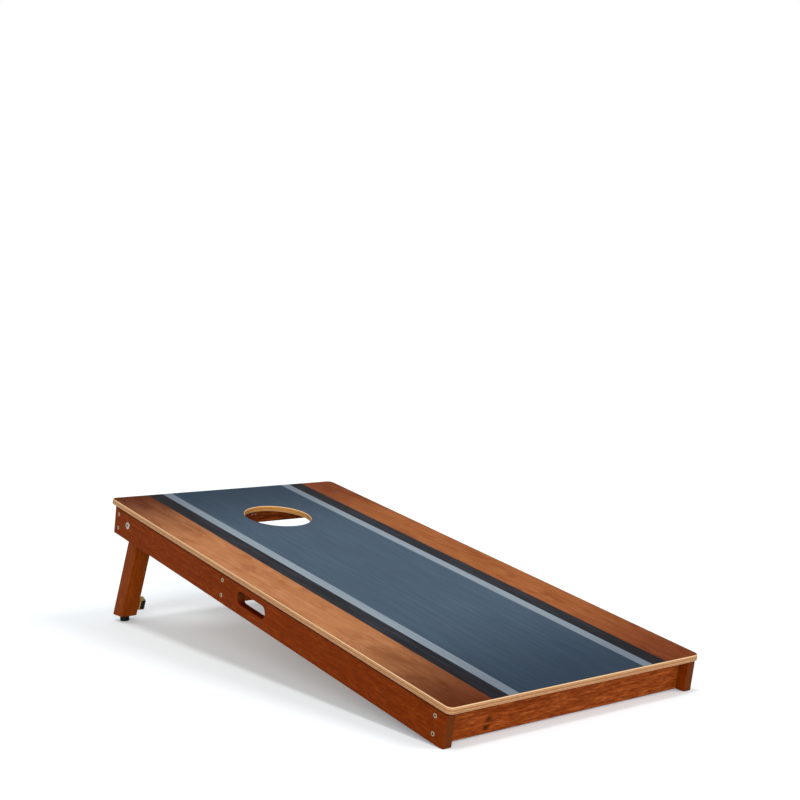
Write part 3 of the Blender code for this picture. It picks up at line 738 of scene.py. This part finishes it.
def make_deck():
    low, high = local_box("deck", BOARD)
    outline = rounded_rectangle(low, high, DECK_CORNER, 10)
    hole_y = high.y - HOLE_FROM_BACK
    steps = 128

    def round_outline(offset):
        return [((HOLE_RADIUS + offset) * math.cos(math.tau * step / steps),
                 (HOLE_RADIUS + offset) * math.sin(math.tau * step / steps)) for step in range(steps)]

    hole = flared(round_outline, high.z - low.z, HOLE_EASE)
    hole = moved(hole, Matrix.Translation((0, hole_y, (low.z + high.z) / 2)))
    mesh = shaped(prism(outline, low.z, high.z, "z"), DECK_EASE, 5, [hole])
    bm = bmesh.new()
    bm.from_mesh(mesh)
    for band in BANDS:
        for x in (-band, band):
            everything = bm.verts[:] + bm.edges[:] + bm.faces[:]
            bmesh.ops.bisect_plane(bm, geom=everything, plane_co=(x, 0, 0), plane_no=(1, 0, 0))
    for face in bm.faces:
        face.material_index = deck_material(face, hole_y)
    bm.to_mesh(mesh)
    bm.free()
    add_piece("deck", mesh, BOARD, "frame", [MATERIALS[name] for name in DECK_MATERIALS],
              "yxz", round_plan=True)


# ---------------------------------------------------------------- frame boards

def screw_recess(node, direction, place):
    """Countersink round a flush screw head, with room for its driver recess, in place's frame."""
    seat = place.inverted() @ fastener_frame(node, direction)
    radius = fastener_size(node, direction)[0]
    wide = radius + SEAT_MARGIN
    narrow = 0.7 * radius
    step = 0.0001
    outline = turned((wide, CUTTER_PROUD), (wide, -SEAT_DEPTH), (narrow, -SEAT_DEPTH - step),
                     (narrow, -SOCKET_ROOM))
    return moved(ringed(outline, 32), seat)


def pivot_bore(node, direction):
    """Start of the bolt's bore, deep enough for its socket, in the board frame."""
    seat = BOARD.inverted() @ fastener_frame(node, direction)
    return moved(ringed(turned((PIVOT_BORE, CUTTER_PROUD), (PIVOT_BORE, -PIVOT_BORE_DEPTH)), 32), seat)


def pocket_direction(place, side):
    """Way out of a pocket screw's head: down the slanted pocket, in the board frame."""
    slant = math.sin(POCKET_ANGLE)
    inward = {"front": (0, slant), "back": (0, -slant)}.get(place, (-side * slant, 0))
    return Vector((*inward, -math.cos(POCKET_ANGLE)))


def world_direction(vector):
    return (BOARD.to_3x3() @ vector).normalized()


def pocket_room(node, direction):
    """Round pocket that a slanted screw was driven through, in the board frame."""
    seat = BOARD.inverted() @ fastener_frame(node, world_direction(direction))
    return moved(ringed(turned((POCKET_RADIUS, POCKET_REACH), (POCKET_RADIUS, -POCKET_SEAT)), 32), seat)


def make_rail(name, side):
    low, high = local_box("rail_" + name, BOARD)
    rise = REST_FLAT * math.tan(slope_of(BOARD))
    outline = [(low.y, high.z), (low.y, low.z + rise), (low.y + REST_FLAT, low.z), (high.y, low.z),
               (high.y, high.z)]
    radius = SLOT_HEIGHT / 2
    reach = SLOT_LENGTH / 2 - radius

    def slot_outline(offset):
        return arc((0, reach), radius + offset, 0, 180, 24) + arc((0, -reach), radius + offset, 180, 360, 24)

    across = Matrix.Translation(((low.x + high.x) / 2, SLOT_FROM_FRONT, -SLOT_DROP)) \
        @ Matrix.Rotation(math.pi / 2, 4, "Y")
    cutters = [moved(flared(slot_outline, high.x - low.x, SLOT_EASE), across)]
    outward = Vector((side, 0, 0))
    for place in ("front", "middle", "back"):
        for level in ("upper", "lower"):
            cutters.append(screw_recess(f"frame_screw_{name}_{place}_{level}", outward, BOARD))
    cutters.append(pivot_bore("pivot_bolt_" + name, outward))
    for place in ("near", "far"):
        cutters.append(pocket_room(f"pocket_screw_{name}_{place}", pocket_direction(place, side)))
    mesh = shaped(prism(outline, low.x, high.x, "x"), BOARD_EASE, 3, cutters)
    # Faces on the slot's walls take the darker slot timber: painted shade inside the slot
    for face in mesh.polygons:
        beside = abs(face.center.y - SLOT_FROM_FRONT) < SLOT_LENGTH / 2 + SLOT_EASE
        level = abs(face.center.z + SLOT_DROP) < SLOT_HEIGHT / 2 + SLOT_EASE
        face.material_index = int(beside and level and abs(face.normal.x) < SLOT_WALL_LEAN)
    add_piece("rail_" + name, mesh, BOARD, "frame", [MATERIALS["rail"], MATERIALS["slot"]],
              "yxz", GRAIN_OFFSETS["rail_" + name])


def make_cross_board(name):
    """Apron or brace between the rails, with the pockets of the screws that hold the deck."""
    low, high = local_box(name, BOARD)
    outline = rectangle(low.y, low.z, high.y, high.z)
    end = name.split("_")[0]
    cutters = []
    if end in ("front", "back"):
        for side_name, side in SIDES.items():
            cutters.append(pocket_room(f"pocket_screw_{end}_{side_name}", pocket_direction(end, side)))
    mesh = shaped(prism(outline, low.x, high.x, "x"), BOARD_EASE, 3, cutters)
    add_piece(name, mesh, BOARD, "frame", [MATERIALS["cross"]], "xyz", GRAIN_OFFSETS[name])


# ---------------------------------------------------------------- fasteners

def flat_head(radius, shank, length, recess):
    """Countersunk screw with a six-lobed recess, its head's face at z = 0."""
    land = 0.0003
    rim = 0.00025
    drop = 0.9 * (radius - shank)
    depth = min(recess, 0.9 * (radius - 1.15 * recess))
    return [(-1.15 * depth, 0.45 * recess, star), (-depth, recess, star), (-0.0001, recess, star),
            (0.0, recess * 1.06, star), *turned((radius - rim, 0.0), (radius, -rim), (radius, -rim - land),
            (shank, -land - drop), (shank, 2 * shank - length), (0.0002, -length))]


def round_head(radius, height, shank, length, recess):
    """Domed screw with a six-lobed recess, seated at z = -height."""
    dome = [(radius * math.sin(a), height * (math.cos(a) - 1))
            for a in (math.radians(angle) for angle in (25, 40, 55, 70, 82))]
    top = dome[0][1]
    return [(top - 0.9 * recess, 0.45 * recess, star), (top - 0.8 * recess, recess, star),
            (top, recess * 1.04, star), *turned(*dome, (radius, -height), (shank, -height),
            (shank, 2 * shank - length), (0.0002, -length))]


def add_fastener(node, direction, rings, recess, body, material):
    """A screw or bolt whose driver recess, of that radius, gets a near-black material inside as painted
    shade.
    """
    mesh = ringed(rings)
    deepest, lip = 3.0 * recess, 0.0001
    # Faces inside the driver recess take the near-black recess material: painted shade in the hollow
    for face in mesh.polygons:
        out = math.hypot(*face.center[:2])
        face.material_index = int(out < recess and -deepest < face.center.z < -lip)
    materials = [MATERIALS[material], MATERIALS["recess"]]
    add_piece(node, mesh, fastener_frame(node, direction), body, materials)


def add_screw(node, direction, body):
    """A screw whose head looks along direction, domed or countersunk as its kind is."""
    kind = "_".join(node.split("_")[:2])
    shank_share, recess_share, dome = SCREWS[kind]
    radius, length = fastener_size(node, direction)
    shank = shank_share * radius
    recess = recess_share * radius
    if dome:
        rings = round_head(radius, dome, shank, length, recess)
    else:
        rings = flat_head(radius, shank, length, recess)
    add_fastener(node, direction, rings, recess, body, "screw")


def make_frame_screws():
    for side_name, side in SIDES.items():
        for place in ("front", "middle", "back"):
            for level in ("upper", "lower"):
                add_screw(f"frame_screw_{side_name}_{place}_{level}", Vector((side, 0, 0)), "frame")


def make_pocket_screws():
    for side_name, side in SIDES.items():
        for label, place in ((f"front_{side_name}", "front"), (f"back_{side_name}", "back"),
                             (f"{side_name}_near", "near"), (f"{side_name}_far", "far")):
            add_screw("pocket_screw_" + label, world_direction(pocket_direction(place, side)), "frame")


def make_face_screws():
    for node in ("face_screw_a", "face_screw_b"):
        add_screw(node, world_direction(Vector((0, -1, 0))), "frame")


def make_pivot(name, side):
    """Button-head bolt with a hexagon socket, plain washers and a lock nut."""
    outward = Vector((side, 0, 0))
    node = "pivot_bolt_" + name
    radius, length = fastener_size(node, outward)
    dome = turned((0.60 * radius, 0.0), (0.78 * radius, -0.0002), (0.91 * radius, -0.0006),
                  (0.98 * radius, -0.0011), (radius, -0.0016), (radius, -BOLT_HEAD))
    rings = [(-BOLT_SOCKET_DEPTH, 0.3 * BOLT_SOCKET, circle),
             (-BOLT_SOCKET_DEPTH + 0.0006, BOLT_SOCKET, hexagon), (-0.0003, BOLT_SOCKET, hexagon),
             (0.0, 1.10 * BOLT_SOCKET, hexagon), *dome,
             *turned((BOLT_SHANK, -BOLT_HEAD), (BOLT_SHANK, 0.001 - length), (BOLT_SHANK - 0.0009, -length))]
    add_fastener(node, outward, rings, BOLT_SOCKET, "frame", "bolt")
    bore = BOLT_SHANK + BORE_ROOM
    edge = 0.0003
    for part in ("spacer", "washer"):
        node = f"pivot_{part}_{name}"
        radius, thickness = fastener_size(node, outward)
        rings = turned((bore, -edge), (bore + edge, 0.0), (radius - edge, 0.0), (radius, -edge),
                       (radius, edge - thickness), (radius - edge, -thickness), (bore + edge, -thickness),
                       (bore, edge - thickness))
        add_piece(node, ringed(rings, closed=True), fastener_frame(node, outward), "frame",
                  [MATERIALS["bolt"]])
    make_nut("pivot_nut_" + name, -outward, bore)


def make_nut(node, outward, bore):
    """Hexagon lock nut, its rounded collar outwards."""
    radius, height = fastener_size(node, outward)
    flats = radius * math.cos(math.pi / 6)
    collar = height * 0.24
    edge = 0.0004
    rings = [*turned((bore, -edge), (bore + edge, 0.0), (0.74 * flats, 0.0), (0.88 * flats, -0.0006),
                     (0.94 * flats, -collar)),
             (-collar - 0.0002, flats, circle), (-collar - 0.0012, radius, hexagon),
             (-height + 0.0007, radius, hexagon), (-height, flats, circle),
             *turned((bore + edge, -height), (bore, edge - height))]
    place = fastener_frame(node, outward) @ Matrix.Rotation(math.radians(30), 4, "Z")
    add_piece(node, ringed(rings, closed=True), place, "frame", [MATERIALS["bolt"]])


# ---------------------------------------------------------------- legs

def make_leg(name):
    place = LEGS[name]
    low, high = local_box("leg_" + name, place)
    lean = slope_of(place)
    drop = place.translation.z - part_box("foot_" + name)[1].z - GAP

    def foot_end(y):
        """The end is cut level, where the foot's top is."""
        return -(drop + y * math.sin(lean)) / math.cos(lean)

    outline = [(low.y, foot_end(low.y)), (high.y, foot_end(high.y)), (high.y, high.z)]
    outline += arc((low.y + LEG_TOP_ROUND, high.z - LEG_TOP_ROUND), LEG_TOP_ROUND, 90, 180, 20)
    mesh = shaped(prism(outline, low.x, high.x, "x"), LEG_EASE, 5)
    add_piece("leg_" + name, mesh, place, "leg_" + name, [MATERIALS["leg"]], "zxy",
              GRAIN_OFFSETS["leg_" + name])


def make_foot(name):
    """Rubber foot and the screw sunk in its underside, upright on the floor."""
    node = "foot_" + name
    up = Vector((0, 0, 1))
    radius, height = fastener_size(node, up)
    bore, recess, recess_depth = 0.0022, 0.0042, 0.005
    taper, edge = 0.0010, 0.0004
    sole = [(-height - z, r, s) for z, r, s in quarter_round(radius - taper, 0.0, 0.0014)]
    seat = recess_depth - height
    rings = [*turned((bore, -0.0003), (bore + 0.0005, 0.0)), *quarter_round(radius, 0.0, 0.0008),
             *turned((radius - taper, 0.0022 - height)), *reversed(sole),
             *turned((recess + edge, -height), (recess, edge - height), (recess, seat), (bore, seat))]
    add_piece(node, ringed(rings, closed=True), fastener_frame(node, up), "leg_" + name,
              [MATERIALS["rubber"]])
    add_screw("foot_screw_" + name, -up, "leg_" + name)


def make_catch(name, side):
    """Magnet held in a folded brass channel on the leg's inner face."""
    place = LEGS[name]
    low, high = local_box("catch_bracket_" + name, place)
    magnet_low, magnet_high = local_box("catch_magnet_" + name, place)
    root, edge = (high.x, low.x) if side > 0 else (low.x, high.x)
    inner = magnet_high.x + GAP if side > 0 else magnet_low.x - GAP
    outline = [(root, low.z), (edge, low.z), (edge, magnet_low.z - GAP), (inner, magnet_low.z - GAP),
               (inner, magnet_high.z + GAP), (edge, magnet_high.z + GAP), (edge, high.z), (root, high.z)]
    bracket = shaped(prism(outline, low.y, high.y, "y"), 0.0004, 3)
    add_piece("catch_bracket_" + name, bracket, place, "leg_" + name, [MATERIALS["brass"]], "zxy")
    outline = rectangle(magnet_low.x, magnet_low.z, magnet_high.x, magnet_high.z)
    node = "catch_screw_" + name
    inward = place.to_3x3() @ Vector((-side, 0, 0))
    seat = screw_recess(node, inward, place)
    magnet = shaped(prism(outline, magnet_low.y, magnet_high.y, "y"), 0.0006, 3, [seat])
    add_piece("catch_magnet_" + name, magnet, place, "leg_" + name, [MATERIALS["magnet"]], "zxy")
    add_screw(node, inward, "leg_" + name)


def make_strike(name):
    """Steel plate with round corners under the deck, and its screw."""
    node = "strike_plate_" + name
    low, high = local_box(node, BOARD)
    downward = world_direction(Vector((0, 0, -1)))
    screw = "strike_screw_" + name
    outline = rounded_rectangle(low, high, 0.002, 5)
    seat = screw_recess(screw, downward, BOARD)
    mesh = shaped(prism(outline, low.z, high.z, "z"), 0.0003, 2, [seat])
    add_piece(node, mesh, BOARD, "frame", [MATERIALS["screw"]], "yxz")
    add_screw(screw, downward, "frame")


# ---------------------------------------------------------------- stage, camera and lights

def make_stage():
    """Wide round white floor, glowing a little so that shadows on it stay light and neutral."""
    bm = bmesh.new()
    bmesh.ops.create_circle(bm, cap_ends=True, radius=FLOOR_RADIUS, segments=128)
    floor = bpy.data.objects.new("floor", finished(bm, "floor"))
    bpy.context.scene.collection.objects.link(floor)
    tree = Tree("studio_white")
    place = tree.node("TexCoord").outputs["Object"]
    cloud = tree.noise(place, 0.8, 2.0)
    darker, lighter, glow = (0.765, 0.785, 0.790, 1.0), (0.785, 0.805, 0.810, 1.0), (0.67, 0.78, 0.85, 1.0)
    floor.data.materials.append(tree.finish(
        Base_Color=tree.blend(cloud, darker, lighter), Roughness=0.9, Specular_IOR_Level=0.1,
        Emission_Color=glow, Emission_Strength=FLOOR_GLOW))


def toward(azimuth, elevation):
    """Unit vector out of the object; azimuth 0 is on its front side, 90 on its right."""
    a, e = math.radians(azimuth), math.radians(elevation)
    return Vector((math.sin(a) * math.cos(e), -math.cos(a) * math.cos(e), math.sin(e)))


def add_light(kind, name, back, distance, strength):
    """Light aimed at the object from the direction back."""
    lamp = bpy.data.lights.new(name, kind)
    lamp.energy = strength
    light = bpy.data.objects.new(name, lamp)
    light.location = sum(CAD_BOUNDS, Vector()) / 2 + back * distance
    light.rotation_euler = back.to_track_quat("Z", "Y").to_euler()
    bpy.context.scene.collection.objects.link(light)
    return lamp


def make_studio():
    """Even white room light, a broad low sun in front left, one overhead and one high at front right.
    The camera sees a brighter white than the room gives off."""
    world = bpy.data.worlds.new("studio")
    bpy.context.scene.world = world
    world.use_nodes = True
    nodes = world.node_tree.nodes
    sky = nodes["Background"].inputs
    sky["Color"].default_value = (1.0, 1.0, 1.0, 1.0)
    strength = nodes.new("ShaderNodeMapRange")
    strength.inputs["To Min"].default_value = ROOM_LIGHT
    strength.inputs["To Max"].default_value = BACKGROUND_LIGHT
    seen = nodes.new("ShaderNodeLightPath").outputs["Is Camera Ray"]
    world.node_tree.links.new(seen, strength.inputs["Value"])
    world.node_tree.links.new(strength.outputs["Result"], sky["Strength"])
    for name, azimuth, elevation, power, softness in SUNS:
        sun = add_light("SUN", name, toward(azimuth, elevation), SUN_DISTANCE, power)
        sun.angle = math.radians(softness)
    bpy.context.scene.view_settings.view_transform = "Standard"


def make_camera():
    lens = bpy.data.cameras.new("camera")
    lens.lens = CAMERA_LENS
    lens.clip_start = 0.05
    camera = bpy.data.objects.new("camera", lens)
    camera.location = CAMERA_PLACE
    camera.rotation_euler = [math.radians(angle) for angle in CAMERA_TURN]
    bpy.context.scene.collection.objects.link(camera)
    bpy.context.scene.camera = camera


# ---------------------------------------------------------------- assembly

make_deck()
for side_name, side_sign in SIDES.items():
    make_rail(side_name, side_sign)
for board_name in ("front_apron", "centre_brace", "back_apron"):
    make_cross_board(board_name)
make_frame_screws()
make_pocket_screws()
make_face_screws()
for side_name, side_sign in SIDES.items():
    make_pivot(side_name, side_sign)
    make_leg(side_name)
    make_foot(side_name)
    make_catch(side_name, side_sign)
    make_strike(side_name)
make_stage()
make_studio()
make_camera()
